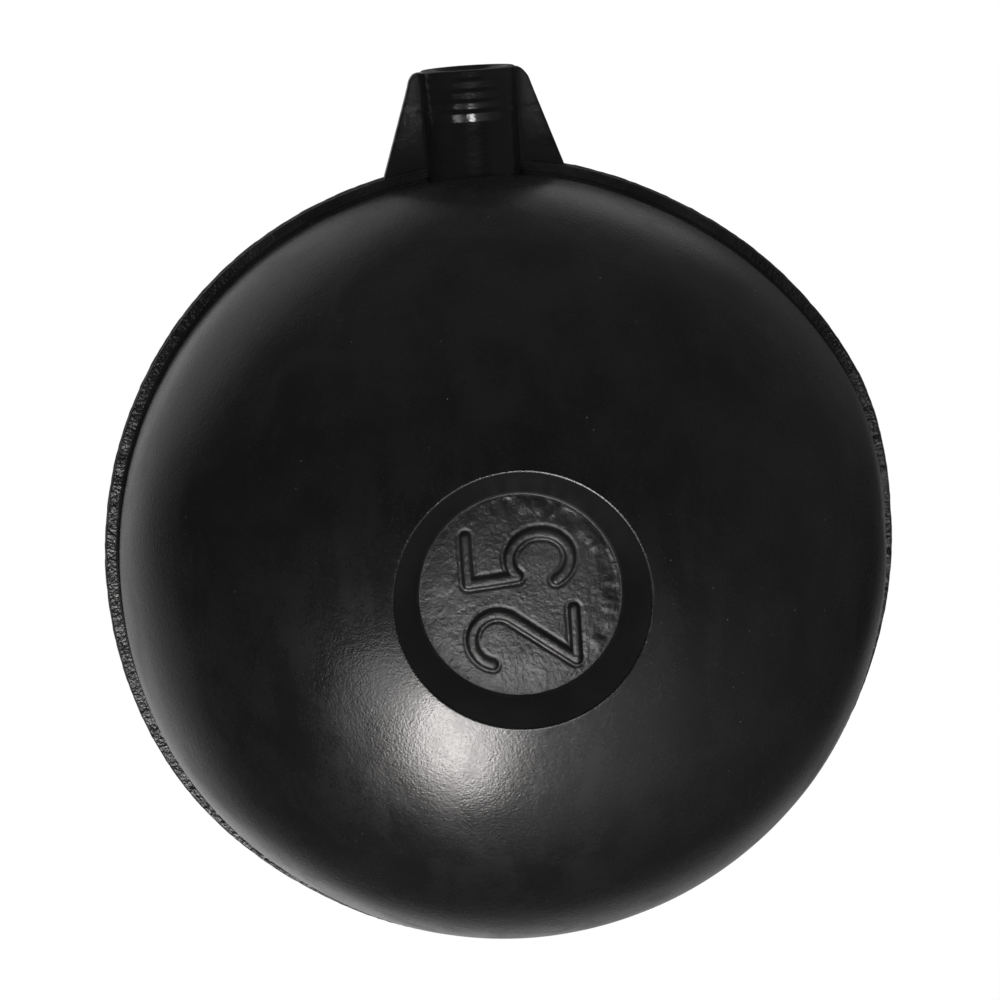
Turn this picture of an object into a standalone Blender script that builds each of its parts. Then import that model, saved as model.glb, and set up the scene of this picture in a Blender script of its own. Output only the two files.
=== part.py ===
"""Ball float for a cistern valve, 90 mm across its welding flange.

Two identical half shells are welded together at their flanges, and hold a threaded neck between them.
Squeezed-out plastic makes one weld bead outside the seam and one inside it.

The origin is the centre of the neck's mouth and +Z points out of the neck, so the ball is below it.
The seam lies in the XZ plane, the front half is on the -Y side and all sizes are in metres.
"""
from math import atan2, ceil, cos, degrees, pi, radians, sin, sqrt

import bmesh
import bpy
from mathutils import Vector

MM = 0.001
GAP = 0.3 * MM                 # clearance between pieces that touch on the real float
SEAM = GAP / 2                 # distance of each half's welding face from the seam plane

# Ball
CENTRE_DEPTH = 54.9 * MM       # from the neck's mouth down to the ball's centre
FLANGE_RADIUS = 44.85 * MM
FLANGE_HALF = 1.4 * MM         # thickness of one half's flange, from the seam plane
SHELL_RADIUS = 43.3 * MM
SKIRT = 6.8 * MM               # straight wall between the seam plane and the dome
DOME_HEIGHT = 36.8 * MM
WALL = 1.8 * MM
AROUND = 64                    # facets round the ball
DOME_STEPS = 9
HALVINGS = 40                  # halvings of the search for where the cavity's wall meets its dome

# Round recess at each pole
RECESS_RADIUS = 13.9 * MM
FLOOR_RADIUS = 11.0 * MM
RECESS_DEPTH = 4.7 * MM        # at the floor's edge
FLOOR_CROWN = 0.7 * MM         # how far the middle of the floor bulges out
CROWN_STEPS = 3

# Raised size digits on the recess floor, lying on their side
DIGIT_HEIGHT = 11.2 * MM       # between stroke centres, as is the width
DIGIT_WIDTH = 5.6 * MM
DIGIT_PITCH = 8.5 * MM
DIGIT_SHIFT = -0.4 * MM
STROKE_WIDTH = 0.95 * MM
STROKE_RISE = 0.45 * MM
STROKE_ROOT = 0.4 * MM         # how far a stroke reaches down into the floor
FIVE_BOWL = 3.3 * MM           # half height of the bowl of the 5
FIVE_BAR = 0.8                 # length of its top bar, as a share of the digit's half width

# Weld grooves and beads
GROOVE_DEPTH = 1.0 * MM
GROOVE_HALF = 0.9 * MM         # half width of a groove at its mouth
BEAD_HALF = 0.5 * MM
BEAD_PROUD = 0.15 * MM

# Neck
TUBE_RADIUS = 5.4 * MM
TUBE_LENGTH = 14.4 * MM
BORE_DEPTH = 12.5 * MM
THREAD_PITCH = 1.25 * MM       # M8 coarse
THREAD_MAJOR = 4.0 * MM
THREAD_MINOR = 3.35 * MM
THREAD_LENGTH = 8.75 * MM
LEAD_IN = 0.35 * MM            # chamfer at the mouth
RIM_ROUND = 0.3 * MM
NECK_AROUND = 32
ROWS_PER_PITCH = 5
ROOT_FLAT = 1 / 8              # flat at the thread's root, as a share of the pitch
FLANK = 1 / 4                  # one sloping side, as a share of the pitch
RIDGE_TOP = 2.1 * MM           # from the mouth down to the first ridge round the tube
RIDGE_PITCH = 1.18 * MM
RIDGE_RISES = (0.10 * MM, 0.12 * MM, 0.14 * MM, 0.24 * MM)
RIDGE_FOOT = 0.35              # half widths of a ridge's foot and crest, as shares of the pitch
RIDGE_CREST = 0.12

# Webs beside the neck
WEB_THICKNESS = 2.4 * MM
WEB_TOP_HALF = 6.3 * MM        # half width at the mouth, before the corner is rounded
WEB_SLOPE = 0.336              # growth of the half width for each metre down
WEB_CORNER = 1.3 * MM
WEB_DROP = 0.2 * MM            # from the mouth down to the webs' top
WEB_ROOT = 4.75 * MM           # where a web starts, inside the tube's wall

FRONT_TURN = (radians(90), 0, 0)
REAR_TURN = (radians(90), 0, radians(180))
BALL_CENTRE = (0, 0, -CENTRE_DEPTH)


def clear_scene():
    for item in list(bpy.data.objects):
        bpy.data.objects.remove(item, do_unlink=True)


def plastic(name, colour, roughness):
    material = bpy.data.materials.new(name)
    material.use_nodes = True
    shader = material.node_tree.nodes["Principled BSDF"]
    shader.inputs["Base Color"].default_value = (*colour, 1.0)
    shader.inputs["Roughness"].default_value = roughness
    shader.inputs["Metallic"].default_value = 0.0
    return material


def finish_mesh(name, mesh_edit):
    """Turn a bmesh into a mesh with its faces out and round parts shaded smooth."""
    bmesh.ops.recalc_face_normals(mesh_edit, faces=mesh_edit.faces)
    if mesh_edit.calc_volume(signed=True) < 0:
        bmesh.ops.reverse_faces(mesh_edit, faces=mesh_edit.faces)
    mesh = bpy.data.meshes.new(name)
    mesh_edit.to_mesh(mesh)
    mesh_edit.free()
    mesh.shade_smooth()
    mesh.set_sharp_from_angle(angle=radians(35))
    return mesh


def place(name, mesh, material=None, location=(0, 0, 0), rotation=(0, 0, 0)):
    item = bpy.data.objects.new(name, mesh)
    item.location = location
    item.rotation_euler = rotation
    bpy.context.scene.collection.objects.link(item)
    if material is not None and not mesh.materials:
        mesh.materials.append(material)
    return item


def make_guide(item):
    """A guide only shapes other pieces and isn't a piece itself."""
    item.hide_render = True
    item.display_type = "WIRE"
    return item


def shape_with(item, guide, operation):
    modifier = item.modifiers.new(guide.name, "BOOLEAN")
    modifier.operation = operation
    modifier.solver = "EXACT"
    modifier.object = guide


def turned(name, rings, around, closed):
    """A body turned round local Z.

    Each ring is a function from the angle to a radius, and a height; None in place of the function
    is a point on the axis. A closed body joins its last ring to its first, as a tyre does.
    """
    edit = bmesh.new()
    loops = []
    for radius_at, height in rings:
        if radius_at is None:
            loops.append([edit.verts.new((0, 0, height))])
            continue
        loop = []
        for step in range(around):
            angle = 2 * pi * step / around
            radius = radius_at(angle)
            loop.append(edit.verts.new((radius * cos(angle), radius * sin(angle), height)))
        loops.append(loop)
    pairs = list(zip(loops, loops[1:]))
    if closed:
        pairs.append((loops[-1], loops[0]))
    for first, second in pairs:
        for step in range(around):
            after = (step + 1) % around
            if len(first) == 1:
                edit.faces.new((first[0], second[after], second[step]))
            elif len(second) == 1:
                edit.faces.new((first[step], first[after], second[0]))
            else:
                edit.faces.new((first[step], first[after], second[after], second[step]))
    return finish_mesh(name, edit)


def plain_rings(profile):
    """Rings of the same radius all the way round, from (radius, height) pairs."""
    return [(None if radius == 0 else (lambda angle, r=radius: r), height) for radius, height in profile]


def arc(centre_x, centre_y, radius_x, radius_y, start, end, steps):
    """Points on an elliptical arc, from start to end in degrees."""
    points = []
    for step in range(steps + 1):
        angle = radians(start + (end - start) * step / steps)
        points.append((centre_x + radius_x * cos(angle), centre_y + radius_y * sin(angle)))
    return points


def dome_height(radius, inset):
    """Height above the seam plane of the dome's surface, inset by the wall for the inner one."""
    reach = radius / (SHELL_RADIUS - inset)
    return SKIRT + (DOME_HEIGHT - inset) * sqrt(1 - reach * reach)


def crown_height(radius):
    """How far the recess floor bulges out at a radius."""
    return FLOOR_CROWN * (1 - (radius / FLOOR_RADIUS) ** 2)


def cavity_profile(floor, rim_height):
    """The inner side of a half shell, from the pole out to the seam, one wall from the outer side."""
    slope = Vector((RECESS_RADIUS - FLOOR_RADIUS, rim_height - floor)).normalized()
    start = Vector((FLOOR_RADIUS, floor)) + Vector((slope.y, -slope.x)) * WALL
    cavity_floor = floor - WALL
    low_corner = start + slope * ((cavity_floor - start.y) / slope.y)
    near = 0.0
    far = RECESS_RADIUS
    for _ in range(HALVINGS):
        middle = (near + far) / 2
        point = start + slope * middle
        if point.y < dome_height(point.x, WALL):
            near = middle
        else:
            far = middle
    edge = start + slope * near
    first_angle = atan2((edge.y - SKIRT) / (DOME_HEIGHT - WALL), edge.x / (SHELL_RADIUS - WALL))
    dome = arc(0, SKIRT, SHELL_RADIUS - WALL, DOME_HEIGHT - WALL, degrees(first_angle), 0, DOME_STEPS - 2)
    groove = [(SHELL_RADIUS - WALL, GROOVE_HALF), (SHELL_RADIUS - WALL + GROOVE_DEPTH, SEAM)]
    return [(0, cavity_floor), (low_corner.x, low_corner.y)] + dome + groove


def half_shell_mesh():
    """A half shell with local Z as the pole axis, local Y towards the neck and the seam at Z = 0."""
    rim_height = dome_height(RECESS_RADIUS, 0)
    floor = rim_height - RECESS_DEPTH
    last_angle = atan2((rim_height - SKIRT) / DOME_HEIGHT, RECESS_RADIUS / SHELL_RADIUS)
    dome = arc(0, SKIRT, SHELL_RADIUS, DOME_HEIGHT, 0, degrees(last_angle), DOME_STEPS)
    flange = [
        (FLANGE_RADIUS - GROOVE_DEPTH, SEAM),
        (FLANGE_RADIUS, GROOVE_HALF),
        (FLANGE_RADIUS, FLANGE_HALF),
        (SHELL_RADIUS, FLANGE_HALF),
    ]
    inside = cavity_profile(floor, rim_height)
    crown = []
    for step in range(CROWN_STEPS + 1):
        radius = FLOOR_RADIUS * step / CROWN_STEPS
        crown.append((radius, floor + crown_height(radius)))
    # The profile runs from the outer pole over recess, dome, flange and seam face to the inner pole.
    outside = crown + dome[::-1] + flange[::-1]
    return turned("half_shell", plain_rings(outside + inside[::-1]), AROUND, closed=False)


def digit_two():
    """Stroke centre line of a 2, with X along the reading direction and Y towards the digit's top."""
    half = DIGIT_WIDTH / 2
    bowl = DIGIT_HEIGHT / 2 - half
    head = arc(0, bowl, half, half, 165, -35, 9)
    return head + [(-half, -DIGIT_HEIGHT / 2), (half, -DIGIT_HEIGHT / 2)]


def digit_five():
    half = DIGIT_WIDTH / 2
    bowl = arc(0, FIVE_BOWL - DIGIT_HEIGHT / 2, half, FIVE_BOWL, 130, -150, 12)
    neck = [(half, DIGIT_HEIGHT / 2), (-half * FIVE_BAR, DIGIT_HEIGHT / 2)]
    return neck + bowl


def add_stroke(edit, line, offset_along, floor):
    """Sweep a flat bar along a centre line drawn lying on its side on the recess floor."""
    sections = []
    for index, (along, up) in enumerate(line):
        before = line[max(index - 1, 0)]
        after = line[min(index + 1, len(line) - 1)]
        into = Vector((along - before[0], up - before[1]))
        out = Vector((after[0] - along, after[1] - up))
        into = into.normalized() if into.length > 0 else out.normalized()
        out = out.normalized() if out.length > 0 else into
        ahead = (into + out).normalized()
        half = STROKE_WIDTH / 2 / max(ahead.dot(out), 0.5)
        side = Vector((-ahead.y, ahead.x)) * half
        section = []
        for sign, height in ((1, STROKE_RISE), (-1, STROKE_RISE), (-1, -STROKE_ROOT), (1, -STROKE_ROOT)):
            reading = along + sign * side.x + offset_along
            digit_up = up + sign * side.y
            bulge = crown_height(sqrt(reading * reading + digit_up * digit_up))
            section.append(edit.verts.new((-digit_up, reading, floor + bulge + height)))
        sections.append(section)
    for first, second in zip(sections, sections[1:]):
        for corner in range(4):
            after = (corner + 1) % 4
            edit.faces.new((first[corner], first[after], second[after], second[corner]))
    edit.faces.new(sections[0])
    edit.faces.new(sections[-1][::-1])


def digits_mesh():
    floor = dome_height(RECESS_RADIUS, 0) - RECESS_DEPTH
    edit = bmesh.new()
    add_stroke(edit, digit_two(), DIGIT_SHIFT - DIGIT_PITCH / 2, floor)
    add_stroke(edit, digit_five(), DIGIT_SHIFT + DIGIT_PITCH / 2, floor)
    return finish_mesh("digits", edit)


def bead_mesh(name, surface_radius, outward):
    """A ring in the groove at surface_radius: proud of it on one side, a wedge on the other."""
    root = surface_radius - outward * (GROOVE_DEPTH - GAP)
    crest = surface_radius + outward * BEAD_PROUD
    profile = [
        (root, 0),
        (surface_radius, BEAD_HALF),
        (crest, BEAD_HALF / 2),
        (crest, -BEAD_HALF / 2),
        (surface_radius, -BEAD_HALF),
    ]
    return turned(name, plain_rings(profile), AROUND, closed=True)


def thread_radius(depth):
    """The bore's radius at a depth, as a function of the angle: a right-hand thread.

    The groove runs out over half a pitch at each end.
    """
    run_out = THREAD_PITCH / 2
    fade = min(1, depth / run_out, (THREAD_LENGTH - depth) / run_out)

    def radius_at(angle):
        phase = (-depth / THREAD_PITCH - angle / (2 * pi)) % 1
        past_root = abs(phase - 0.5) - ROOT_FLAT / 2
        cut = min(1, max(0, 1 - past_root / FLANK))
        return THREAD_MINOR + (THREAD_MAJOR - THREAD_MINOR) * cut * fade

    return radius_at


def neck_rings():
    """The neck's tube from its closed lower end up the outside, over the rim and down the bore."""
    outside = [(0, -TUBE_LENGTH), (TUBE_RADIUS - RIM_ROUND, -TUBE_LENGTH)]
    outside.append((TUBE_RADIUS, -TUBE_LENGTH + RIM_ROUND))
    for ridge, crest in reversed(list(enumerate(RIDGE_RISES))):
        middle = -RIDGE_TOP - RIDGE_PITCH * ridge
        section = ((0, -RIDGE_FOOT), (crest, -RIDGE_CREST), (crest, RIDGE_CREST), (0, RIDGE_FOOT))
        for rise, step in section:
            outside.append((TUBE_RADIUS + rise, middle + step * RIDGE_PITCH))
    outside += [(TUBE_RADIUS, -RIM_ROUND), (TUBE_RADIUS - RIM_ROUND, 0), (THREAD_MAJOR + LEAD_IN, 0)]
    rings = plain_rings(outside)
    rings.append(((lambda angle: THREAD_MINOR), -LEAD_IN * 2))
    rows = ceil(THREAD_LENGTH / THREAD_PITCH * ROWS_PER_PITCH)
    for row in range(1, rows):
        depth = THREAD_LENGTH * row / rows
        rings.append((thread_radius(depth), -LEAD_IN * 2 - depth))
    end_chamfer = [(THREAD_MINOR, -BORE_DEPTH + RIM_ROUND), (THREAD_MINOR - RIM_ROUND, -BORE_DEPTH)]
    return rings + plain_rings(end_chamfer + [(0, -BORE_DEPTH)])


def web_outline():
    """One web in the XZ plane: flat top, round corner, slanting side, and an arc above the flange."""
    foot_radius = FLANGE_RADIUS + BEAD_PROUD + GAP
    top = -WEB_DROP
    lean = atan2(WEB_SLOPE, 1)
    corner_x = WEB_TOP_HALF - WEB_SLOPE * (top - WEB_CORNER) - WEB_CORNER / cos(lean)
    corner = []
    for x, z in arc(corner_x, top - WEB_CORNER, WEB_CORNER, WEB_CORNER, 90, degrees(lean), 4):
        corner.append((x, z))
    # The slanting side x = a - b z meets the circle x^2 + (z + depth)^2 = foot^2.
    square = 1 + WEB_SLOPE ** 2
    linear = 2 * (CENTRE_DEPTH - WEB_SLOPE * WEB_TOP_HALF)
    constant = WEB_TOP_HALF ** 2 + CENTRE_DEPTH ** 2 - foot_radius ** 2
    foot_z = (-linear + sqrt(linear ** 2 - 4 * square * constant)) / (2 * square)
    foot_x = WEB_TOP_HALF - WEB_SLOPE * foot_z
    inner_angle = degrees(atan2(sqrt(foot_radius ** 2 - WEB_ROOT ** 2), WEB_ROOT))
    outer_angle = degrees(atan2(foot_z + CENTRE_DEPTH, foot_x))
    foot = arc(0, -CENTRE_DEPTH, foot_radius, foot_radius, outer_angle, inner_angle, 3)
    return [(WEB_ROOT, top)] + corner + foot


def webs_mesh():
    edit = bmesh.new()
    for side in (1, -1):
        outline = web_outline()
        layers = []
        for y in (-WEB_THICKNESS / 2, WEB_THICKNESS / 2):
            layers.append([edit.verts.new((side * x, y, z)) for x, z in outline])
        front, back = layers
        edit.faces.new(front)
        edit.faces.new(back[::-1])
        for index in range(len(outline)):
            after = (index + 1) % len(outline)
            edit.faces.new((front[index], back[index], back[after], front[after]))
    return finish_mesh("webs", edit)


def clearance_mesh():
    """The round passage that the neck's tube takes through both halves and both beads."""
    radius = TUBE_RADIUS + GAP
    bottom = -2 * TUBE_LENGTH
    profile = [(0, bottom), (radius, bottom), (radius, 0), (0, 0)]
    return turned("clearance", plain_rings(profile), NECK_AROUND, closed=False)


def build():
    clear_scene()
    shell_black = plastic("shell_plastic", (0.010, 0.010, 0.011), 0.28)
    neck_black = plastic("neck_plastic", (0.009, 0.009, 0.010), 0.24)
    bead_black = plastic("bead_plastic", (0.018, 0.017, 0.017), 0.55)

    clearance = make_guide(place("neck_clearance", clearance_mesh()))
    webs = make_guide(place("neck_webs", webs_mesh()))
    shell_mesh = half_shell_mesh()
    raised = digits_mesh()

    for side, turn in (("front", FRONT_TURN), ("rear", REAR_TURN)):
        shell = place(side + "_shell", shell_mesh, shell_black, BALL_CENTRE, turn)
        digits = make_guide(place(side + "_digits", raised, None, BALL_CENTRE, turn))
        shape_with(shell, digits, "UNION")
        shape_with(shell, clearance, "DIFFERENCE")

    neck = place("threaded_neck", turned("neck", neck_rings(), NECK_AROUND, closed=False), neck_black)
    shape_with(neck, webs, "UNION")

    beads = (
        ("outer_weld_bead", FLANGE_RADIUS, 1),
        ("inner_weld_bead", SHELL_RADIUS - WALL, -1),
    )
    for name, surface_radius, outward in beads:
        bead = place(name, bead_mesh(name, surface_radius, outward), bead_black, BALL_CENTRE, FRONT_TURN)
        shape_with(bead, clearance, "DIFFERENCE")


build()
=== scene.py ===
"""Looks for the black plastic ball float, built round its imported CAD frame.

The origin is the centre of the neck's mouth, +Z points out of the neck and all sizes are in metres.
The seam between the two half shells lies in the XZ plane, and the front half is on the -Y side.
"""
import math

import bmesh
import bpy
import numpy as np
from mathutils import Matrix, Vector


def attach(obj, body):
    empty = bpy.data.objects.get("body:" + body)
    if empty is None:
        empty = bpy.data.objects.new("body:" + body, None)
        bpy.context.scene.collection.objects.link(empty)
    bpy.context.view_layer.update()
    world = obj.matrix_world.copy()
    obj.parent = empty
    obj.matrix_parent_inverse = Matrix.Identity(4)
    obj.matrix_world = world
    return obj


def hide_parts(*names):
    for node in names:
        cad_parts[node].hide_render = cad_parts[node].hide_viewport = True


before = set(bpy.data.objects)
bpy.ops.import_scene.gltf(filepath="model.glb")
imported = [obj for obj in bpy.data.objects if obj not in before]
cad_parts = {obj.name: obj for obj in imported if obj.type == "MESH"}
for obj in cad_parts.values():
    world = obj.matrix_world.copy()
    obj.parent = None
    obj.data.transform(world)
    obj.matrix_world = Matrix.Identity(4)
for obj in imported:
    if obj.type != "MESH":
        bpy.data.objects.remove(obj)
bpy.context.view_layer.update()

MM = 0.001
BODY = "root"

# Ball, as in the CAD
CENTRE = Vector((0, 0, -54.9 * MM))
FLANGE_RADIUS = 44.85 * MM
FLANGE_HALF = 1.4 * MM
SEAM = 0.15 * MM               # distance of each half's welding face from the seam plane
SHELL_RADIUS = 43.3 * MM
SKIRT = 6.8 * MM
DOME_HEIGHT = 36.8 * MM
WALL = 1.8 * MM
GROOVE_DEPTH = 1.0 * MM
GROOVE_HALF = 0.9 * MM
SKIRT_FILLET = 0.3 * MM
EDGE_ROUND = 0.22 * MM
BOX_RADIUS = 45 * MM           # half the width of the CAD's box
# Where the moulding is out of round: degrees from +Z towards +X, spread in degrees, height
NECK_DIP = -0.50 * MM
UNEVEN = (
    (-12, 22, NECK_DIP),
    (28, 17, -0.53 * MM),
    (70, 13.5, 0.62 * MM),
    (110, 14, -0.22 * MM),
    (-147, 10, -0.17 * MM),
    (-118, 14, 0.20 * MM),
)
# How strongly the ball follows its flange, as a power of the radius
UNEVEN_POWER = 3

# Grain and slow waves in the plastic: height, then cell sizes of the noise
FLOOR_GRAIN = 0.021 * MM
FLOOR_CELLS = (0.42 * MM, 0.23 * MM)
FLOW_CELL = 1.7 * MM
FLOW_SHARE = 1.6
FLANGE_GRAIN = 0.045 * MM
FLANGE_CELLS = (0.6 * MM, 0.9 * MM)
WAVE = 0.03 * MM
WAVE_CELLS = (9 * MM, 4 * MM)
CORNER_GRAIN = 0.02 * MM
CORNER_CELL = 1.3 * MM

# Recess at the pole
RECESS_RADIUS = 13.9 * MM
FLOOR_RADIUS = 11.0 * MM
RECESS_DEPTH = 4.7 * MM        # at the floor's edge
FLOOR_CROWN = 0.7 * MM         # how far the middle of the floor bulges out
CROWN_POWER = 3
# Tool marks on the floor: where they start, are at full height and end, then their end's length
CHATTER_RADII = (8.6 * MM, 9.8 * MM, 10.7 * MM)
CHATTER_END = 0.3 * MM
CHATTER_CELL = 0.8 * MM
CHATTER_HEIGHT = 0.2 * MM
CHATTER_SIDE = math.radians(35)
CHATTER_SEED = 91
RING_ROUND = 0.3 * MM
FLOOR_FILLET = 0.18 * MM
RELIEF_MARGIN = 0.3 * MM       # the digits' relief ends this far from the floor's edge
RELIEF_FADE = 0.2 * MM

# Raised digits on the recess floor
DIGIT_HEIGHT = 11.2 * MM
DIGIT_WIDTH = 5.6 * MM
DIGIT_PITCH = 8.5 * MM
DIGIT_SHIFT = -0.4 * MM
FIVE_BOWL = 3.3 * MM           # half height of the bowl of the 5
FIVE_BAR = 0.8                 # length of its top bar, as a share of the digit's half width
STROKE_HALF = 0.33 * MM
STROKE_FLANK = 0.3 * MM
STROKE_RISE = 0.45 * MM
STROKE_CROWN = 0.1             # roundness of a stroke's top, as a share of its rise
MOAT_WIDTH = 0.5 * MM
MOAT_DEPTH = 0.11 * MM

# Columns round the ball, outside and inside
FINE = 576
COARSE = 144
SKIRT_ROWS = 6

# Neck. The threaded part starts at twice the lead-in's depth.
TUBE_RADIUS = 5.4 * MM
TUBE_LENGTH = 14.4 * MM
PASSAGE_GAP = 0.03 * MM
BORE_DEPTH = 12.5 * MM
THREAD_PITCH = 1.25 * MM
THREAD_MAJOR = 4.0 * MM
THREAD_MINOR = 3.35 * MM
THREAD_LENGTH = 8.75 * MM
LEAD_IN = 0.35 * MM
LEAD_IN_ROUND = 0.2 * MM
RIM_ROUND = 0.3 * MM
ROOT_FLAT = 1 / 8              # flat at the thread's root, as a share of the pitch
FLANK = 1 / 4                  # one sloping side, as a share of the pitch
THREAD_ROWS = 112
# Each ridge's height and the slope of its lower side
RIDGES = ((0.06 * MM, 0.06), (0.07 * MM, 0.08), (0.09 * MM, 0.12), (0.16 * MM, 0.17))
RIDGE_TOP = 1.3 * MM
RIDGE_PITCH = 1.18 * MM
RIDGE_HALF = 0.42              # length of its upper side, as a share of the pitch
WEB_HALF = 1.2 * MM
WEB_TOP_HALF = 6.3 * MM
WEB_SLOPE = 0.336              # growth of the half width for each metre down
LEFT_CORNER = 1.5 * MM
RIGHT_CORNER = 2.3 * MM
WEB_DROP = 0.2 * MM            # from the mouth down to the webs' top
WEB_FILLET = 2.0 * MM
WEB_EDGE = 0.5 * MM            # blend along a web's outer edge
WEB_TOP_ROUND = 0.25 * MM
WEB_ROWS = 220
WEB_SPAN = 26                  # degrees to each side of a web with close columns
FOOT_GAP = 0.02 * MM
FOOT_MARGIN = 0.6 * MM         # plain tube kept below the webs' lowest row
FOOT_START = 0.05 * MM         # how far outside the tube a web begins to follow the flange
FOOT_BLEND = 0.2 * MM
WEB_START = 0.35 * MM          # how far outside the tube the web's own material begins

# Outer weld bead
BEAD_PROUD = 0.15 * MM
BEAD_HALF = 0.78 * MM
BEAD_SINK = 0.12 * MM          # its edges' depth below the rim, and its root's height in the groove
BEAD_WEB_GAP = 0.25 * MM       # from a web's foot to the bead's end, taken along X
BEAD_COLUMNS = 1440
BEAD_SEED = 71
WRINKLE = 0.65 * MM
WRINKLE_DEPTH = 0.07 * MM
WRINKLE_SLOW = 5 * MM
SWAY = 0.08 * MM               # how far the crest wanders from the seam plane
SWAY_CELL = 3 * MM

MATERIAL_ORDER = ("shell", "floor", "wall", "flange")


# ---------------------------------------------------------------- noise and shapes in numpy


def smooth_step(value):
    value = np.clip(value, 0, 1)
    return value * value * (3 - 2 * value)


def lattice_noise(points, cell, seed):
    """Smooth noise from -1 to 1 at each point, with features about one cell wide."""
    size = 64
    table = np.random.default_rng(seed).uniform(-1, 1, (size, size, size))
    scaled = points / cell
    base = np.floor(scaled).astype(int)
    part = smooth_step(scaled - base)
    total = np.zeros(len(points))
    for corner in range(8):
        step = np.array([corner & 1, (corner >> 1) & 1, (corner >> 2) & 1])
        index = (base + step) % size
        weight = np.prod(np.where(step == 1, part, 1 - part), axis=1)
        total += weight * table[index[:, 0], index[:, 1], index[:, 2]]
    return total


def arc(centre_x, centre_y, radius_x, radius_y, start, end, steps):
    """Points on an elliptical arc, from start to end in degrees."""
    angles = np.radians(np.linspace(start, end, steps + 1))
    return [(centre_x + radius_x * math.cos(a), centre_y + radius_y * math.sin(a)) for a in angles]


def fillet(before, corner, after, radius, steps):
    """Points of a round corner between two straight sides of a profile."""
    corner = np.array(corner)
    into = np.array(before) - corner
    out = np.array(after) - corner
    into = into / np.linalg.norm(into)
    out = out / np.linalg.norm(out)
    half = math.acos(float(np.clip(into @ out, -1, 1))) / 2
    reach = radius / math.tan(half)
    middle = (into + out) / np.linalg.norm(into + out)
    centre = corner + middle * radius / math.sin(half)
    first = corner + into * reach - centre
    last = corner + out * reach - centre
    turn = math.acos(float(np.clip(first @ last / radius ** 2, -1, 1)))
    points = []
    for step in range(steps + 1):
        share = step / steps
        spread = math.sin(turn)
        mix = (math.sin((1 - share) * turn) * first + math.sin(share * turn) * last) / spread
        points.append(tuple(centre + mix))
    return points


def out_of_round(angles):
    """How far the flange stands out at angles from +Z towards +X, kept inside the CAD's box."""
    total = np.zeros(np.shape(angles))
    for centre, spread, height in UNEVEN:
        away = (np.degrees(angles) - centre + 180) % 360 - 180
        total = total + height * np.exp(-(away / spread) ** 2)
    widest = np.maximum(np.abs(np.sin(angles)), np.abs(np.cos(angles)))
    return np.minimum(total, BOX_RADIUS / widest - BOX_RADIUS)


def distance_to_line(points, line):
    """Distance from each 2-D point to a polyline."""
    best = np.full(len(points), np.inf)
    for start, end in zip(line, line[1:]):
        start = np.array(start)
        along = np.array(end) - start
        share = np.clip((points - start) @ along / (along @ along), 0, 1)
        best = np.minimum(best, np.linalg.norm(points - start - share[:, None] * along, axis=1))
    return best


# ---------------------------------------------------------------- meshes from rings


def loops_to_mesh(name, loops):
    """Join loops of points, each an (n, 3) array, into one mesh.

    Neighbouring loops have the same number of points, or one has twice the other's, or one is a
    single point. Returns the mesh and, for each face, the index of its first loop.
    """
    starts = np.cumsum([0] + [len(loop) for loop in loops])
    points = np.concatenate(loops)
    faces = []
    rows = []
    for row in range(len(loops) - 1):
        first, second = starts[row], starts[row + 1]
        count_a, count_b = len(loops[row]), len(loops[row + 1])
        few = min(count_a, count_b) if min(count_a, count_b) > 1 else max(count_a, count_b)
        for i in range(few):
            j = (i + 1) % few
            if count_a == 1:
                face = (first, second + j, second + i)
            elif count_b == 1:
                face = (first + i, first + j, second)
            elif count_a == count_b:
                face = (first + i, first + j, second + j, second + i)
            elif count_a > count_b:
                end = (2 * i + 2) % count_a
                face = (first + 2 * i, first + 2 * i + 1, first + end, second + j, second + i)
            else:
                end = (2 * i + 2) % count_b
                face = (first + i, first + j, second + end, second + 2 * i + 1, second + 2 * i)
            faces.append(tuple(int(v) for v in face))
            rows.append(row)
    mesh = bpy.data.meshes.new(name)
    mesh.from_pydata(points.tolist(), [], faces)
    mesh.validate()
    return mesh, rows


def tidy_normals(mesh):
    """Turn a closed mesh's faces outward and shade it smooth, with its sharp corners kept."""
    edit = bmesh.new()
    edit.from_mesh(mesh)
    bmesh.ops.remove_doubles(edit, verts=edit.verts, dist=0.0005 * MM)
    bmesh.ops.dissolve_degenerate(edit, edges=edit.edges, dist=0.0002 * MM)
    bmesh.ops.recalc_face_normals(edit, faces=edit.faces)
    if edit.calc_volume(signed=True) < 0:
        bmesh.ops.reverse_faces(edit, faces=edit.faces)
    edit.to_mesh(mesh)
    edit.free()
    mesh.shade_smooth()
    mesh.set_sharp_from_angle(angle=math.radians(50))


def give_materials(mesh, materials):
    for material in materials:
        mesh.materials.append(material)


def new_piece(name, mesh, materials, replaced):
    piece = bpy.data.objects.new(name, mesh)
    bpy.context.scene.collection.objects.link(piece)
    if not mesh.materials:
        give_materials(mesh, materials)
    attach(piece, BODY)
    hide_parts(replaced)
    return piece


def cut(mesh, cutter_mesh):
    """The mesh with the cutter's volume taken away."""
    target = bpy.data.objects.new("cut_target", mesh)
    cutter = bpy.data.objects.new("cut_tool", cutter_mesh)
    for item in (target, cutter):
        bpy.context.scene.collection.objects.link(item)
    modifier = target.modifiers.new("cut", "BOOLEAN")
    modifier.operation = "DIFFERENCE"
    modifier.solver = "MANIFOLD"
    modifier.object = cutter
    graph = bpy.context.evaluated_depsgraph_get()
    result = bpy.data.meshes.new_from_object(target.evaluated_get(graph))
    for item in (target, cutter):
        bpy.data.objects.remove(item, do_unlink=True)
    return result


# ---------------------------------------------------------------- half shells


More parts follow.
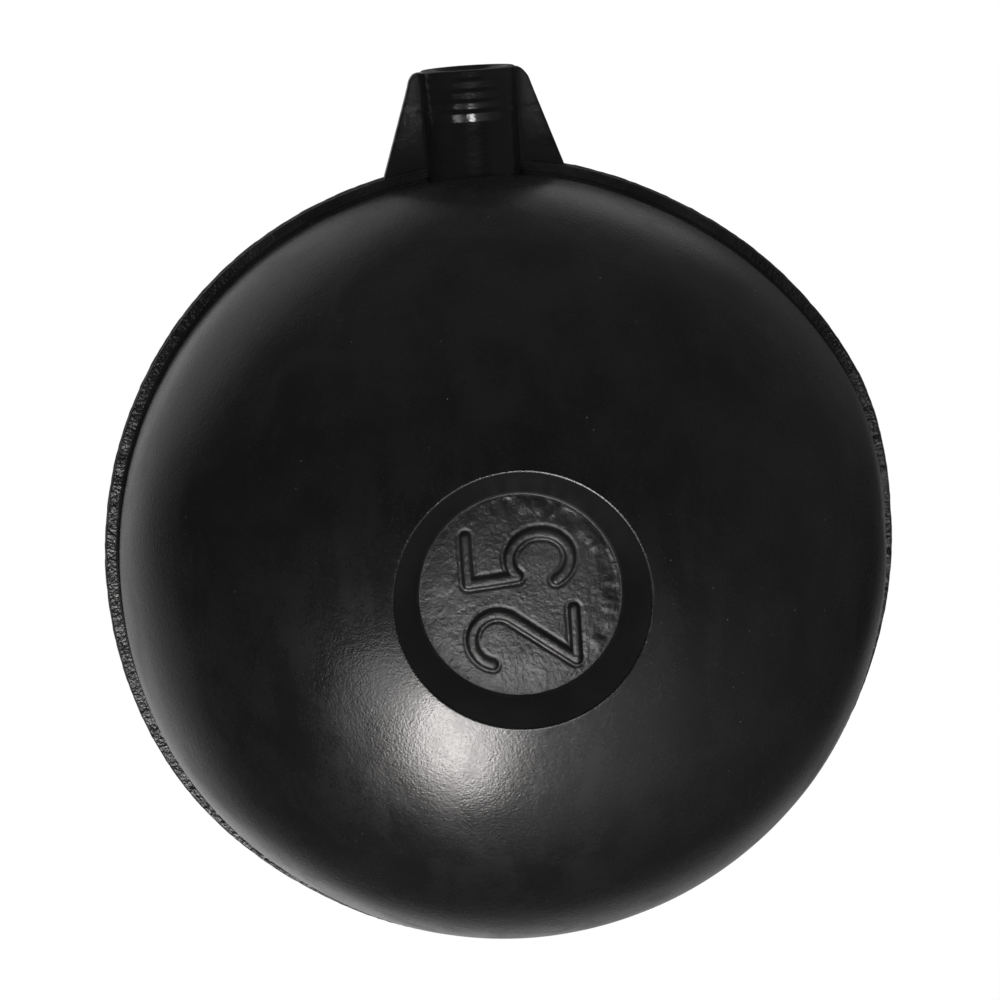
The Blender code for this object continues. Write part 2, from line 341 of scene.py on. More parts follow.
def digit_lines():
    """Centre lines of the 2 and the 5, with X along the reading direction and Y up the digit."""
    half = DIGIT_WIDTH / 2
    top = DIGIT_HEIGHT / 2
    two = arc(0, top - half, half, half, 165, -35, 24) + [(-half, -top), (half, -top)]
    five = [(half, top), (-half * FIVE_BAR, top)]
    five += arc(0, FIVE_BOWL - top, half, FIVE_BOWL, 130, -150, 32)
    lines = []
    for line, place in ((two, -DIGIT_PITCH / 2), (five, DIGIT_PITCH / 2)):
        lines.append([(along + place + DIGIT_SHIFT, up) for along, up in line])
    return lines


def floor_relief(points):
    """Height of the digits above the recess floor, with the shallow moat round each stroke."""
    reading = np.column_stack((points[:, 1], -points[:, 0]))
    distance = np.minimum(*[distance_to_line(reading, line) for line in digit_lines()])
    rise = STROKE_RISE * smooth_step((STROKE_HALF + STROKE_FLANK - distance) / STROKE_FLANK)
    crown = STROKE_CROWN * STROKE_RISE * (1 - np.clip(distance / STROKE_HALF, 0, 1) ** 2)
    past = (distance - STROKE_HALF - STROKE_FLANK) / MOAT_WIDTH
    moat = MOAT_DEPTH * np.clip(1 - np.abs(2 * past - 0.6) / 1.2, 0, 1)
    return rise + crown - moat


def floor_chatter(radius, angles):
    """Short uneven radial tool marks near the floor's edge, on the right and at the top."""
    start, full, end = CHATTER_RADII
    reach = smooth_step((radius - start) / (full - start)) * smooth_step((end - radius) / CHATTER_END)
    side = smooth_step((np.cos(angles - CHATTER_SIDE) - 0.1) / 0.5)
    round_edge = FLOOR_RADIUS * np.column_stack((np.cos(angles), np.sin(angles)))
    place = np.column_stack((round_edge, np.full(len(angles), radius / 3)))
    return CHATTER_HEIGHT * reach * side * lattice_noise(place, CHATTER_CELL, CHATTER_SEED)


def dome_height(radius, inset=0.0):
    reach = radius / (SHELL_RADIUS - inset)
    return SKIRT + (DOME_HEIGHT - inset) * math.sqrt(1 - reach * reach)


def shell_profile():
    """Rows of (radius, height, columns, material, grain, wave) from the outer pole to the inner one.

    Returned with them are the heights of the recess floor's edge and of the cavity's floor.
    """
    rim = dome_height(RECESS_RADIUS)
    floor = rim - RECESS_DEPTH
    rows = []

    def add(points, columns, material, grain, wave=0.0):
        for radius, height in points:
            rows.append((radius, height, columns, material, grain, wave))

    floor_corner = (FLOOR_RADIUS, floor)
    ring_corner = (RECESS_RADIUS, rim)
    low = fillet((0, floor), floor_corner, ring_corner, FLOOR_FILLET, 5)
    near_ring = arc(0, SKIRT, SHELL_RADIUS, DOME_HEIGHT, 0, 90, 180)
    beyond = [p for p in near_ring if p[0] > RECESS_RADIUS + 2 * RING_ROUND][-1]
    high = fillet(floor_corner, ring_corner, beyond, RING_ROUND, 7)

    for radius in np.linspace(0, low[0][0], 96)[1:-1]:
        columns = FINE if radius > 4 * MM else FINE // 2 if radius > 1.6 * MM else FINE // 4
        add([(radius, floor)], columns, "floor", 1.0)
    add(low, FINE, "floor", 0.4)
    wall_start, wall_end = np.array(low[-1]), np.array(high[0])
    add([tuple(wall_start + (wall_end - wall_start) * s / 14) for s in range(1, 14)], FINE, "wall", 0.15)
    add(high, FINE, "shell", 0.2)
    first = math.degrees(math.atan2((high[-1][1] - SKIRT) / DOME_HEIGHT, high[-1][0] / SHELL_RADIUS))
    add(arc(0, SKIRT, SHELL_RADIUS, DOME_HEIGHT, first, 0, 110)[1:], FINE, "shell", 0.0, 1.0)
    skirt_foot = (SHELL_RADIUS, FLANGE_HALF)
    edge = (FLANGE_RADIUS, FLANGE_HALF)
    foot = fillet((SHELL_RADIUS, SKIRT), skirt_foot, edge, SKIRT_FILLET, 4)
    for height in np.linspace(SKIRT, foot[0][1], SKIRT_ROWS + 1)[1:-1]:
        add([(SHELL_RADIUS, height)], FINE, "shell", 0.0, 0.6)
    add(foot, FINE, "shell", 0.3)
    brink = fillet(skirt_foot, edge, (FLANGE_RADIUS, 0), EDGE_ROUND, 4)
    middle = (foot[-1][0] + brink[0][0]) / 2
    spread = (-0.4 * MM, -0.15 * MM, 0.1 * MM, 0.35 * MM)
    add([(middle + step, FLANGE_HALF) for step in spread], 2 * FINE, "flange", 1.0)
    add(brink, 2 * FINE, "flange", 0.9)
    add([(FLANGE_RADIUS, GROOVE_HALF)], 2 * FINE, "flange", 0.4)
    add([(FLANGE_RADIUS - GROOVE_DEPTH, SEAM)], FINE, "flange", 0.0)

    # Inside, one wall in from the outer side
    inner = SHELL_RADIUS - WALL
    cavity_floor = floor - WALL
    slope = np.array(ring_corner) - np.array(floor_corner)
    slope = slope / np.linalg.norm(slope)
    start = np.array(floor_corner) + np.array((slope[1], -slope[0])) * WALL
    low_corner = start + slope * (cavity_floor - start[1]) / slope[1]
    far = low_corner
    while far[1] < dome_height(far[0], WALL):
        far = far + slope * 0.02 * MM
    last = math.degrees(math.atan2((far[1] - SKIRT) / (DOME_HEIGHT - WALL), far[0] / inner))
    add([(inner + GROOVE_DEPTH, SEAM)], FINE // 2, "shell", 0.0)
    add([(inner, GROOVE_HALF)], COARSE, "shell", 0.0)
    add(arc(0, SKIRT, inner, DOME_HEIGHT - WALL, 0, last, 24), COARSE, "shell", 0.0)
    add([tuple(low_corner)], COARSE, "shell", 0.0)
    return rows, floor, cavity_floor


def outward_directions(rows):
    """For each row of the profile, the direction in (radius, height) that points off the plastic."""
    profile = np.array([(row[0], row[1]) for row in rows])
    ahead = np.gradient(profile, axis=0)
    ahead = ahead / np.maximum(np.linalg.norm(ahead, axis=1, keepdims=True), 1e-12)
    return np.column_stack((-ahead[:, 1], ahead[:, 0]))


def mixed_noise(points, cells, share, seed):
    """Noise in the first cell size, with a share of noise in the second one added."""
    first, second = cells
    return lattice_noise(points, first, seed) + share * lattice_noise(points, second, seed + 1)


def shape_floor(points, angles, radius, grain, seed):
    """Add the crown, digits, grain and tool marks to a ring of the recess floor, in place."""
    points[:, 2] += FLOOR_CROWN * max(0, 1 - (radius / FLOOR_RADIUS) ** CROWN_POWER)
    cover = smooth_step((FLOOR_RADIUS - RELIEF_MARGIN - radius) / RELIEF_FADE)
    points[:, 2] += floor_relief(points[:, :2]) * cover
    fine = mixed_noise(points, FLOOR_CELLS, 0.7, seed)
    flow = lattice_noise(points, FLOW_CELL, seed + 7)
    points[:, 2] += FLOOR_GRAIN * grain * (fine + FLOW_SHARE * flow) + floor_chatter(radius, angles)


def surface_shift(points, angles, material, grain, wave, seed):
    """How far each point of a ring stands off the profile. The floor is shaped by shape_floor."""
    if material == "flange":
        rib_cell, pit_cell = FLANGE_CELLS
        ribs = FLANGE_RADIUS * np.column_stack((np.cos(angles), np.sin(angles), np.zeros(len(angles))))
        rough = lattice_noise(ribs, rib_cell, seed + 2) + 0.5 * lattice_noise(points, pit_cell, seed + 3)
        return FLANGE_GRAIN * grain * (rough - 1.0)
    if wave > 0:
        return WAVE * wave * (mixed_noise(points, WAVE_CELLS, 0.4, seed + 4) - 1.0)
    if material != "floor" and grain > 0:
        return CORNER_GRAIN * grain * (lattice_noise(points, CORNER_CELL, seed + 6) - 1.0)
    return np.zeros(len(points))


def half_shell_mesh(name, front, seed):
    """A half shell in place. Its digits and recess are the same on both sides."""
    rows, floor, cavity_floor = shell_profile()
    outward = outward_directions(rows)
    loops = [np.array([(0, 0, floor + FLOOR_CROWN)])]
    last_outer = max(index for index, row in enumerate(rows) if row[3] == "flange")
    for index, ((radius, height, columns, material, grain, wave), out) in enumerate(zip(rows, outward)):
        angles = np.arange(columns) * 2 * math.pi / columns
        heights = np.full(columns, height)
        points = np.column_stack((radius * np.cos(angles), radius * np.sin(angles), heights))
        if material == "floor":
            shape_floor(points, angles, radius, grain, seed)
        shift = surface_shift(points, angles, material, grain, wave, seed)
        rises = np.full(columns, out[1])
        spoke = np.column_stack((np.cos(angles) * out[0], np.sin(angles) * out[0], rises))
        points += spoke * shift[:, None]
        if index <= last_outer:
            from_neck = math.pi / 2 - angles if front else angles - math.pi / 2
            follow = (radius / FLANGE_RADIUS) ** UNEVEN_POWER
            swell = 1 + out_of_round(from_neck) / FLANGE_RADIUS * follow
            points[:, :2] *= swell[:, None]
        loops.append(points)
    loops.append(np.array([(0, 0, cavity_floor)]))
    mesh, face_rows = loops_to_mesh(name, loops)
    kinds = ["floor"] + [row[3] for row in rows]
    indices = [MATERIAL_ORDER.index(kinds[row]) for row in face_rows]
    mesh.polygons.foreach_set("material_index", indices)
    turn = Matrix.Rotation(math.radians(90), 4, "X")
    if not front:
        turn = Matrix.Rotation(math.pi, 4, "Z") @ turn
    mesh.transform(Matrix.Translation(CENTRE) @ turn)
    tidy_normals(mesh)
    return mesh


def passage_mesh():
    """The round passage through the shells for the neck's tube."""
    radius = TUBE_RADIUS + PASSAGE_GAP
    columns = 128
    angles = np.arange(columns) * 2 * math.pi / columns
    circle = np.column_stack((radius * np.cos(angles), radius * np.sin(angles), np.zeros(columns)))
    bottom = np.array((0, 0, -2 * TUBE_LENGTH))
    loops = [bottom[None, :], circle + bottom, circle, np.zeros((1, 3))]
    mesh, _ = loops_to_mesh("passage", loops)
    tidy_normals(mesh)
    return mesh


# ---------------------------------------------------------------- neck


def neck_angles():
    """Column angles round the neck, closer together where the webs are."""
    close = np.linspace(-WEB_SPAN, WEB_SPAN, 105)
    near = np.concatenate((close, np.linspace(WEB_SPAN, 180 - WEB_SPAN, 65)[1:-1]))
    far = near + 180
    return np.radians(np.concatenate((near, far)))


def web_half_width(height, corner):
    """Half width of a web at a height, with its top corner rounded to a radius; 0 above it."""
    top = -WEB_DROP
    if height > top:
        return 0.0
    width = WEB_TOP_HALF - WEB_SLOPE * height
    corner_z = top - corner
    lean = math.atan2(WEB_SLOPE, 1)
    corner_x = WEB_TOP_HALF - WEB_SLOPE * corner_z - corner / math.cos(lean)
    if height > corner_z + corner * math.sin(lean):
        width = corner_x + math.sqrt(max(0, corner ** 2 - (height - corner_z) ** 2))
    return width


def soft_max(first, second, blend):
    overlap = np.clip(0.5 + 0.5 * (first - second) / blend, 0, 1)
    return second + (first - second) * overlap + blend * overlap * (1 - overlap)


def soft_min(first, second, blend):
    return -soft_max(-first, -second, blend)


def web_reach(angles, half_width):
    """Distance from the axis to the webs' surface in each direction."""
    thick = WEB_HALF / np.maximum(np.abs(np.sin(angles)), 1e-6)
    wide = half_width / np.maximum(np.abs(np.cos(angles)), 1e-6)
    return soft_min(np.minimum(thick, FLANGE_RADIUS), wide, WEB_EDGE)


def ridge_rise(height):
    """How far the ridges round the tube stand out at a height."""
    rise = 0.0
    for ridge, (crest, slope) in enumerate(RIDGES):
        up = height + RIDGE_TOP + RIDGE_PITCH * ridge
        if up > 0:
            rise = max(rise, crest * (1 - (up / (RIDGE_HALF * RIDGE_PITCH)) ** 2))
        else:
            rise = max(rise, crest + up * slope)
    return rise


def thread_cut(angles, depth):
    """How far the right-hand thread is cut into the bore at a depth, in each direction."""
    run_out = THREAD_PITCH / 2
    fade = min(1, depth / run_out, (THREAD_LENGTH - depth) / run_out)
    phase = (-depth / THREAD_PITCH - angles / (2 * math.pi)) % 1
    past_root = np.abs(phase - 0.5) - ROOT_FLAT / 2
    share = np.clip(1 - past_root / FLANK, 0, 1)
    return (THREAD_MAJOR - THREAD_MINOR) * share * max(0, fade)


def ring_points(angles, radius, height):
    radius = np.broadcast_to(radius, angles.shape)
    height = np.broadcast_to(height, angles.shape)
    return np.column_stack((radius * np.cos(angles), radius * np.sin(angles), height))


def neck_mesh():
    """Tube, webs, ridges, rim and threaded bore as one closed body."""
    angles = neck_angles()
    foot_radius = FLANGE_RADIUS + FOOT_GAP
    bottom = -TUBE_LENGTH
    loops = [np.array([(0, 0, bottom)])]
    loops.append(ring_points(angles, TUBE_RADIUS - RIM_ROUND, bottom))
    loops.append(ring_points(angles, TUBE_RADIUS, bottom + RIM_ROUND))
    lowest = CENTRE.z + math.sqrt(foot_radius ** 2 - (WEB_TOP_HALF - WEB_SLOPE * bottom) ** 2)
    lowest += NECK_DIP
    loops.append(ring_points(angles, TUBE_RADIUS, lowest - FOOT_MARGIN))

    def foot_height(radius):
        """Height of the flange's rim under each point of a row."""
        across = radius * np.cos(angles)
        reach = foot_radius + out_of_round(np.arcsin(across / foot_radius))
        return CENTRE.z + np.sqrt(reach ** 2 - across ** 2)

    heights = np.linspace(lowest, -WEB_DROP, WEB_ROWS)
    for index, height in enumerate(heights):
        left, right = web_half_width(height, LEFT_CORNER), web_half_width(height, RIGHT_CORNER)
        width = np.where(np.cos(angles) > 0, right, left)
        tube = TUBE_RADIUS + ridge_rise(height)
        # The web's top edge is rounded over its last few rows
        near_top = np.clip(1 - (-WEB_DROP - height) / WEB_TOP_ROUND, 0, 1)
        shrink = WEB_TOP_ROUND * (1 - math.sqrt(max(0, 1 - near_top ** 2)))
        reach = soft_max(np.full(angles.shape, tube), web_reach(angles, width) - shrink, WEB_FILLET)
        reach = np.where(web_reach(angles, width) < tube - WEB_FILLET, tube, reach)
        out = smooth_step((reach - TUBE_RADIUS - FOOT_START) / FOOT_BLEND)
        level = np.maximum(height, foot_height(reach))
        level = height + (level - height) * out
        if index == 0:
            loops.append(ring_points(angles, tube, level))
        loops.append(ring_points(angles, reach, level))
    loops.append(ring_points(angles, TUBE_RADIUS, -WEB_DROP))
    for radius, height in arc(TUBE_RADIUS - RIM_ROUND, -RIM_ROUND, RIM_ROUND, RIM_ROUND, 20, 90, 6):
        if height > -WEB_DROP:
            loops.append(ring_points(angles, radius, height))
    mouth = THREAD_MAJOR + LEAD_IN + LEAD_IN_ROUND
    for radius, height in arc(mouth, -LEAD_IN_ROUND, LEAD_IN_ROUND, LEAD_IN_ROUND, 90, 150, 4):
        loops.append(ring_points(angles, radius, height))
    thread_top = -LEAD_IN * 2
    loops.append(ring_points(angles, THREAD_MINOR, thread_top))
    for row in range(1, THREAD_ROWS):
        depth = THREAD_LENGTH * row / THREAD_ROWS
        loops.append(ring_points(angles, THREAD_MINOR + thread_cut(angles, depth), thread_top - depth))
    loops.append(ring_points(angles, THREAD_MINOR, -BORE_DEPTH + RIM_ROUND))
    loops.append(ring_points(angles, THREAD_MINOR - RIM_ROUND, -BORE_DEPTH))
    loops.append(np.array([(0, 0, -BORE_DEPTH)]))
    mesh, _ = loops_to_mesh("threaded_neck_look", loops)
    tidy_normals(mesh)
    for face in mesh.polygons:
        on_web = math.hypot(face.center.x, face.center.y) > TUBE_RADIUS + WEB_START
        face.material_index = 1 if on_web else 0
    return mesh


# ---------------------------------------------------------------- outer weld bead


def bead_mesh():
    """The weld bead from web to web, with fine wrinkles across it and an uneven crest."""
    web_foot = WEB_TOP_HALF - WEB_SLOPE * (CENTRE.z + FLANGE_RADIUS)
    gap_angle = math.asin((web_foot + BEAD_WEB_GAP) / FLANGE_RADIUS)
    angles = np.linspace(gap_angle, 2 * math.pi - gap_angle, BEAD_COLUMNS)
    zero = np.zeros(BEAD_COLUMNS)
    along = np.column_stack((angles * FLANGE_RADIUS, zero, zero))
    lump = lattice_noise(along, WRINKLE, BEAD_SEED)
    slow = lattice_noise(along, WRINKLE_SLOW, BEAD_SEED + 1)
    sway = SWAY * lattice_noise(along, SWAY_CELL, BEAD_SEED + 2)
    crest = FLANGE_RADIUS + BEAD_PROUD
    crest = crest - WRINKLE_DEPTH * (1 + np.clip(lump + 0.5 * slow, -1, 1)) / 2
    edge = FLANGE_RADIUS - BEAD_SINK
    bulge = out_of_round(angles)
    loops = []
    for side, rise in arc(0, 0, 1, 1, 172, 8, 9):
        across = BEAD_HALF * side * (1 + 0.06 * lump) + sway * rise
        radius = edge + (crest - edge) * rise + bulge
        loops.append(np.column_stack((radius * np.sin(angles), across, radius * np.cos(angles))))
    radius = FLANGE_RADIUS - GROOVE_DEPTH + BEAD_SINK + bulge
    loops.append(np.column_stack((radius * np.sin(angles), zero, radius * np.cos(angles))))
    sections = [np.array([loop[i] for loop in loops]) for i in range(BEAD_COLUMNS)]
    first = sections[0].mean(axis=0)[None, :]
    last = sections[-1].mean(axis=0)[None, :]
    mesh, _ = loops_to_mesh("outer_weld_bead_look", [first] + sections + [last])
    mesh.transform(Matrix.Translation(CENTRE))
    tidy_normals(mesh)
    return mesh


# ---------------------------------------------------------------- materials


class Nodes:
    """A short way to add nodes to a material or world."""

    def __init__(self, tree):
        self.tree = tree

    def add(self, kind, **settings):
        node = self.tree.nodes.new(kind)
        for key, value in settings.items():
            setattr(node, key, value)
        return node

    def link(self, source, target):
        self.tree.links.new(source, target)

    def put(self, value, socket):
        if isinstance(value, bpy.types.NodeSocket):
            self.link(value, socket)
        else:
            socket.default_value = value

    def noise(self, place, scale, detail=2.0, roughness=0.5, distortion=0.0):
        node = self.add("ShaderNodeTexNoise")
        self.link(place, node.inputs["Vector"])
        node.inputs["Scale"].default_value = scale
        node.inputs["Detail"].default_value = detail
        node.inputs["Roughness"].default_value = roughness
        node.inputs["Distortion"].default_value = distortion
        return node.outputs["Fac"]

    def cells(self, place, scale):
        node = self.add("ShaderNodeTexVoronoi")
        self.link(place, node.inputs["Vector"])
        node.inputs["Scale"].default_value = scale
        return node.outputs["Distance"]

    def remap(self, value, low, high, to_low=0.0, to_high=1.0, smooth=True):
        node = self.add("ShaderNodeMapRange")
        node.interpolation_type = "SMOOTHSTEP" if smooth else "LINEAR"
        self.link(value, node.inputs["Value"])
        node.inputs["From Min"].default_value = low
        node.inputs["From Max"].default_value = high
        node.inputs["To Min"].default_value = to_low
        node.inputs["To Max"].default_value = to_high
        return node.outputs["Result"]

    def math(self, operation, first, second=0.0):
        node = self.add("ShaderNodeMath", operation=operation)
        self.put(first, node.inputs[0])
        self.put(second, node.inputs[1])
        return node.outputs[0]

    def stretch(self, place, scale):
        scaled = self.add("ShaderNodeMapping")
        self.link(place, scaled.inputs["Vector"])
        scaled.inputs["Scale"].default_value = scale
        return scaled.outputs["Vector"]

    def blend_colours(self, share, first, second):
        node = self.add("ShaderNodeMix", data_type="RGBA")
        self.put(share, node.inputs["Factor"])
        self.put(first, node.inputs[6])
        self.put(second, node.inputs[7])
        return node.outputs[2]

    def bump(self, height, distance, below=None):
        node = self.add("ShaderNodeBump")
        node.inputs["Strength"].default_value = 1.0
        node.inputs["Distance"].default_value = distance
        self.link(height, node.inputs["Height"])
        if below is not None:
            self.link(below, node.inputs["Normal"])
        return node.outputs["Normal"]


CLOUD_SIZE = 7 * MM
GRAIN_SIZE = 0.4 * MM
STREAK_WIDTH = 5 * MM
STREAK_LENGTH = 16 * MM
SPECK_CELL = 1.5 * MM
SPECK_PATCH = 3.1 * MM
SPECK_COLOUR = (0.16, 0.155, 0.145, 1)
PLASTIC_IOR = 1.5


def plastic(name, dark, dusty_and_lit, roughness, bumps, dust=0.0, smudges=0.0, gloss=0.5):
    """Black moulded plastic.

    bumps is a list of (feature size, height) for the surface's grain. dust and smudges say how
    strongly each of those shows, and gloss is the strength of the mirror reflection.
    """
    material = bpy.data.materials.new(name)
    material.use_nodes = True
    nodes = Nodes(material.node_tree)
    shader = material.node_tree.nodes["Principled BSDF"]
    place = nodes.add("ShaderNodeTexCoord").outputs["Object"]
    cloud = nodes.noise(place, 1 / CLOUD_SIZE, 3)
    grain = nodes.noise(place, 1 / GRAIN_SIZE, 3, 0.6)
    low, high = roughness
    share = nodes.math("ADD", nodes.math("MULTIPLY", cloud, 0.4), nodes.math("MULTIPLY", grain, 0.6))
    rough = nodes.remap(share, 0.3, 0.7, low, high, smooth=False)
    colour_share = nodes.remap(cloud, 0.35, 0.7)
    if smudges:
        drawn = nodes.stretch(place, (1 / STREAK_WIDTH, 1 / STREAK_WIDTH, 1 / STREAK_LENGTH))
        streaks = nodes.noise(drawn, 1.0, 4, 0.6, 0.4)
        smear = nodes.remap(streaks, 0.42, 0.78)
        rough = nodes.math("ADD", rough, nodes.math("MULTIPLY", smear, 0.12 * smudges))
        colour_share = nodes.math("MAXIMUM", colour_share, smear)
    # The second, lighter tone, which the cloud noise and smudges blend in, is dust and smudges on most
    # parts. On the recess floor and wall, both tones also carry painted light.
    colour = nodes.blend_colours(colour_share, (*dark, 1), (*dusty_and_lit, 1))
    if dust:
        specks = nodes.cells(place, 1 / SPECK_CELL)
        speck = nodes.remap(specks, 0.05, 0.02)
        sparse = nodes.remap(nodes.noise(place, 1 / SPECK_PATCH, 1), 0.5, 0.62)
        speck = nodes.math("MULTIPLY", nodes.math("MULTIPLY", speck, sparse), dust)
        colour = nodes.blend_colours(speck, colour, SPECK_COLOUR)
        rough = nodes.math("ADD", rough, nodes.math("MULTIPLY", speck, 0.3))
    normal = None
    for size, height in bumps:
        normal = nodes.bump(nodes.noise(place, 1 / size, 1), height, normal)
    nodes.link(colour, shader.inputs["Base Color"])
    nodes.link(rough, shader.inputs["Roughness"])
    nodes.link(normal, shader.inputs["Normal"])
    shader.inputs["IOR"].default_value = PLASTIC_IOR
    shader.inputs["Specular IOR Level"].default_value = gloss
    return material


# ---------------------------------------------------------------- stage


def sky_direction(azimuth, elevation):
    """Unit vector for a direction round the ball: azimuth 0 is -Y and 90 is +X, in degrees."""
    azimuth, elevation = math.radians(azimuth), math.radians(elevation)
    flat = math.cos(elevation)
    return Vector((math.sin(azimuth) * flat, -math.cos(azimuth) * flat, math.sin(elevation)))


# Soft boxes that the gloss sees: azimuth, elevation, full-strength angle, fade-out angle, strength
SOFT_BOXES = (
    (-146, 26, 12, 35, 0.39),
    (-162, -14, 10, 33, 0.37),
    (-130, -16, 6, 24, 0.30),
    (163, 31, 4, 17, 0.34),
    (143, 30, 10, 42, 0.07),
    (175, -28, 10, 32, 0.30),
    (-155, -26, 8, 24, 0.10),
    (170, -72, 25, 60, 0.055),
    (-40, -40, 20, 75, 0.05),
    (-36, -28, 3, 12, 3.8),
    (0, -28, 4, 9, 24.0),
    (2, -44, 5, 47, 0.55),
    (50, -42, 5, 42, 0.14),
    (75, -10, 15, 60, 0.07),
    (0, 90, 10, 60, 0.05),
)
ROOM_LIGHT = 1.035
ROOM_GLOSS = 0.012


def build_world():
    """Even light for matt surfaces and the backdrop. The gloss sees soft boxes in a dark room."""
    world = bpy.data.worlds.new("studio")
    bpy.context.scene.world = world
    world.use_nodes = True
    nodes = Nodes(world.node_tree)
    world.node_tree.nodes.clear()
    direction = nodes.add("ShaderNodeTexCoord").outputs["Generated"]
    total = ROOM_GLOSS
    for azimuth, elevation, full, fade, strength in SOFT_BOXES:
        dot = nodes.add("ShaderNodeVectorMath", operation="DOT_PRODUCT")
        nodes.link(direction, dot.inputs[0])
        dot.inputs[1].default_value = sky_direction(azimuth, elevation)
        near, far = math.cos(math.radians(full)), math.cos(math.radians(fade))
        total = nodes.math("ADD", nodes.remap(dot.outputs["Value"], far, near, 0, strength), total)
    even = nodes.add("ShaderNodeBackground")
    even.inputs["Strength"].default_value = ROOM_LIGHT
    even.inputs["Color"].default_value = (1, 1, 1, 1)
    boxes = nodes.add("ShaderNodeBackground")
    boxes.inputs["Color"].default_value = (1, 1, 1, 1)
    nodes.link(total, boxes.inputs["Strength"])
    mix = nodes.add("ShaderNodeMixShader")
    nodes.link(nodes.add("ShaderNodeLightPath").outputs["Is Glossy Ray"], mix.inputs["Fac"])
    nodes.link(even.outputs[0], mix.inputs[1])
    nodes.link(boxes.outputs[0], mix.inputs[2])
    nodes.link(mix.outputs[0], nodes.add("ShaderNodeOutputWorld").inputs["Surface"])


KEY_AZIMUTH = -19.6
KEY_ELEVATION = -41.5
KEY_DISTANCE = 0.4
KEY_HALF_WIDTH = 0.062
KEY_HALF_HEIGHT = 0.101
KEY_RADIANCE = 24
KEY_COLOUR = (1.0, 0.96, 0.945)


def build_key():
    """A tall soft light to the lower left of the camera, which makes the ball's main highlight.

    The gloss alone sees it, because the matt part of the plastic has its even light from the world.
    """
    lamp = bpy.data.lights.new("key", "AREA")
    lamp.color = KEY_COLOUR
    lamp.shape = "ELLIPSE"
    lamp.size = 2 * KEY_HALF_WIDTH
    lamp.size_y = 2 * KEY_HALF_HEIGHT
    lamp.energy = KEY_RADIANCE * math.pi * math.pi * KEY_HALF_WIDTH * KEY_HALF_HEIGHT
    item = bpy.data.objects.new("key", lamp)
    toward = sky_direction(KEY_AZIMUTH, KEY_ELEVATION)
    item.location = CENTRE + toward * KEY_DISTANCE
    item.rotation_mode = "QUATERNION"
    item.rotation_quaternion = toward.to_track_quat("Z", "Y")
    item.visible_camera = False
    item.visible_diffuse = False
    bpy.context.scene.collection.objects.link(item)


STUDIO_LEVEL = -1.25
STUDIO_HALF = 60
STUDIO_COLOUR = (0.97, 0.97, 0.97, 1)
STUDIO_ROUGHNESS = 0.9


def build_floor():
    mesh = bpy.data.meshes.new("studio_floor")
    corners = [(x, y, STUDIO_LEVEL) for x, y in ((-1, -1), (1, -1), (1, 1), (-1, 1))]
    mesh.from_pydata([(x * STUDIO_HALF, y * STUDIO_HALF, z) for x, y, z in corners], [], [(0, 1, 2, 3)])
    item = bpy.data.objects.new("studio_floor", mesh)
    bpy.context.scene.collection.objects.link(item)
    material = bpy.data.materials.new("studio_floor")
    material.use_nodes = True
    shader = material.node_tree.nodes["Principled BSDF"]
    shader.inputs["Base Color"].default_value = STUDIO_COLOUR
    shader.inputs["Roughness"].default_value = STUDIO_ROUGHNESS
    shader.inputs["Specular IOR Level"].default_value = 0.0
    mesh.materials.append(material)
    # The floor is far below, and the gloss sees the soft boxes there in its place
    item.visible_glossy = False


CAMERA_PITCH = math.radians(7.9)
CAMERA_YAW = math.radians(-2.9)
CAMERA_ROLL = math.radians(3.9)
CAMERA_DISTANCE = 0.687
CAMERA_LENS = 216.9
CAMERA_SENSOR = 36
CAMERA_SHIFT_Y = 0.0488


def build_camera():
    data = bpy.data.cameras.new("camera")
    data.lens = CAMERA_LENS
    data.sensor_width = CAMERA_SENSOR
    data.shift_y = CAMERA_SHIFT_Y
    item = bpy.data.objects.new("camera", data)
    back = Vector((
        math.sin(CAMERA_YAW) * math.cos(CAMERA_PITCH),
        -math.cos(CAMERA_YAW) * math.cos(CAMERA_PITCH),
        math.sin(CAMERA_PITCH),
    ))
    level = Vector((math.cos(CAMERA_YAW), math.sin(CAMERA_YAW), 0))
    upright = back.cross(level)
    right = math.cos(CAMERA_ROLL) * level - math.sin(CAMERA_ROLL) * upright
    up = math.sin(CAMERA_ROLL) * level + math.cos(CAMERA_ROLL) * upright
    turn = Matrix((right, up, back)).transposed().to_4x4()
    item.matrix_world = Matrix.Translation(CENTRE + back * CAMERA_DISTANCE) @ turn
    bpy.context.scene.collection.objects.link(item)
    bpy.context.scene.camera = item


# ---------------------------------------------------------------- build


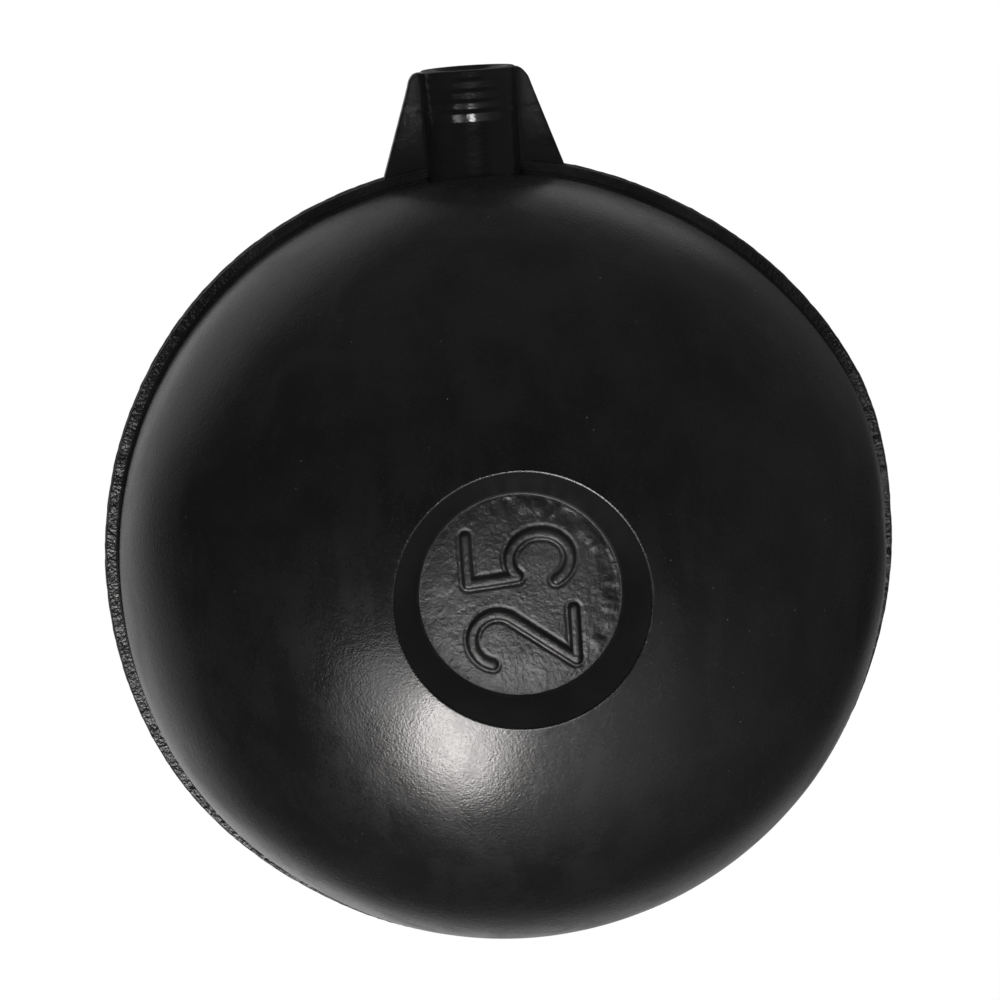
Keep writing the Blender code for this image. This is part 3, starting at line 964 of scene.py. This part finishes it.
def build_pieces():
    shell = plastic(
        "shell_plastic", (0.0049, 0.0049, 0.005), (0.0069, 0.0069, 0.007), (0.19, 0.31),
        [(0.24 * MM, 0.024 * MM), (0.7 * MM, 0.015 * MM)], dust=1.0, smudges=0.8,
    )
    # The recess floor's two tones are lighter than the shell's plastic. This is partly dust in the
    # textured floor and partly painted light, standing in for the key light that the rough floor
    # scatters.
    floor = plastic(
        "recess_floor_dust_and_painted_light", (0.008, 0.008, 0.0082), (0.018, 0.018, 0.018), (0.36, 0.5),
        [(0.22 * MM, 0.035 * MM)], dust=0.8,
    )
    # Painted light: the recess wall's two tones are over twice as light as the shell's plastic. They are
    # painted in place of the light and reflection that the recess shades off the wall, and the wall's
    # gloss is turned down to match.
    wall = plastic(
        "recess_wall_painted_lighter", (0.0115, 0.0112, 0.0114), (0.0145, 0.0142, 0.0144), (0.3, 0.4),
        [(0.6 * MM, 0.02 * MM)], gloss=0.05,
    )
    flange = plastic(
        "flange_plastic", (0.007, 0.007, 0.0072), (0.014, 0.014, 0.014), (0.33, 0.48),
        [(0.35 * MM, 0.15 * MM), (0.9 * MM, 0.15 * MM)], dust=0.6,
    )
    neck = plastic(
        "neck_plastic", (0.0046, 0.0046, 0.0047), (0.0068, 0.0068, 0.0069), (0.13, 0.21),
        [(0.4 * MM, 0.02 * MM), (2.6 * MM, 0.06 * MM)], dust=0.5, smudges=0.3,
    )
    web = plastic(
        "web_plastic", (0.0046, 0.0046, 0.0047), (0.0068, 0.0068, 0.0069), (0.3, 0.42),
        [(0.5 * MM, 0.03 * MM), (2.2 * MM, 0.12 * MM)], dust=0.6, smudges=0.5,
    )
    bead = plastic(
        "bead_plastic", (0.005, 0.005, 0.0052), (0.011, 0.011, 0.011), (0.4, 0.6),
        [(0.25 * MM, 0.15 * MM)], dust=0.5,
    )
    shell_materials = (shell, floor, wall, flange)
    passage = passage_mesh()
    give_materials(passage, (shell,))
    for name, front, seed in (("front_shell", True, 11), ("rear_shell", False, 41)):
        whole = half_shell_mesh(name + "_whole", front, seed)
        give_materials(whole, shell_materials)
        mesh = cut(whole, passage)
        mesh.name = name + "_look"
        new_piece(name + "_look", mesh, shell_materials, name)
    new_piece("threaded_neck_look", neck_mesh(), (neck, web), "threaded_neck")
    new_piece("outer_weld_bead_look", bead_mesh(), (bead,), "outer_weld_bead")
    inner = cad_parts["inner_weld_bead"]
    for slot in inner.material_slots:
        slot.material = bead


build_pieces()
build_world()
build_key()
build_floor()
build_camera()
bpy.context.scene.view_settings.view_transform = "Standard"
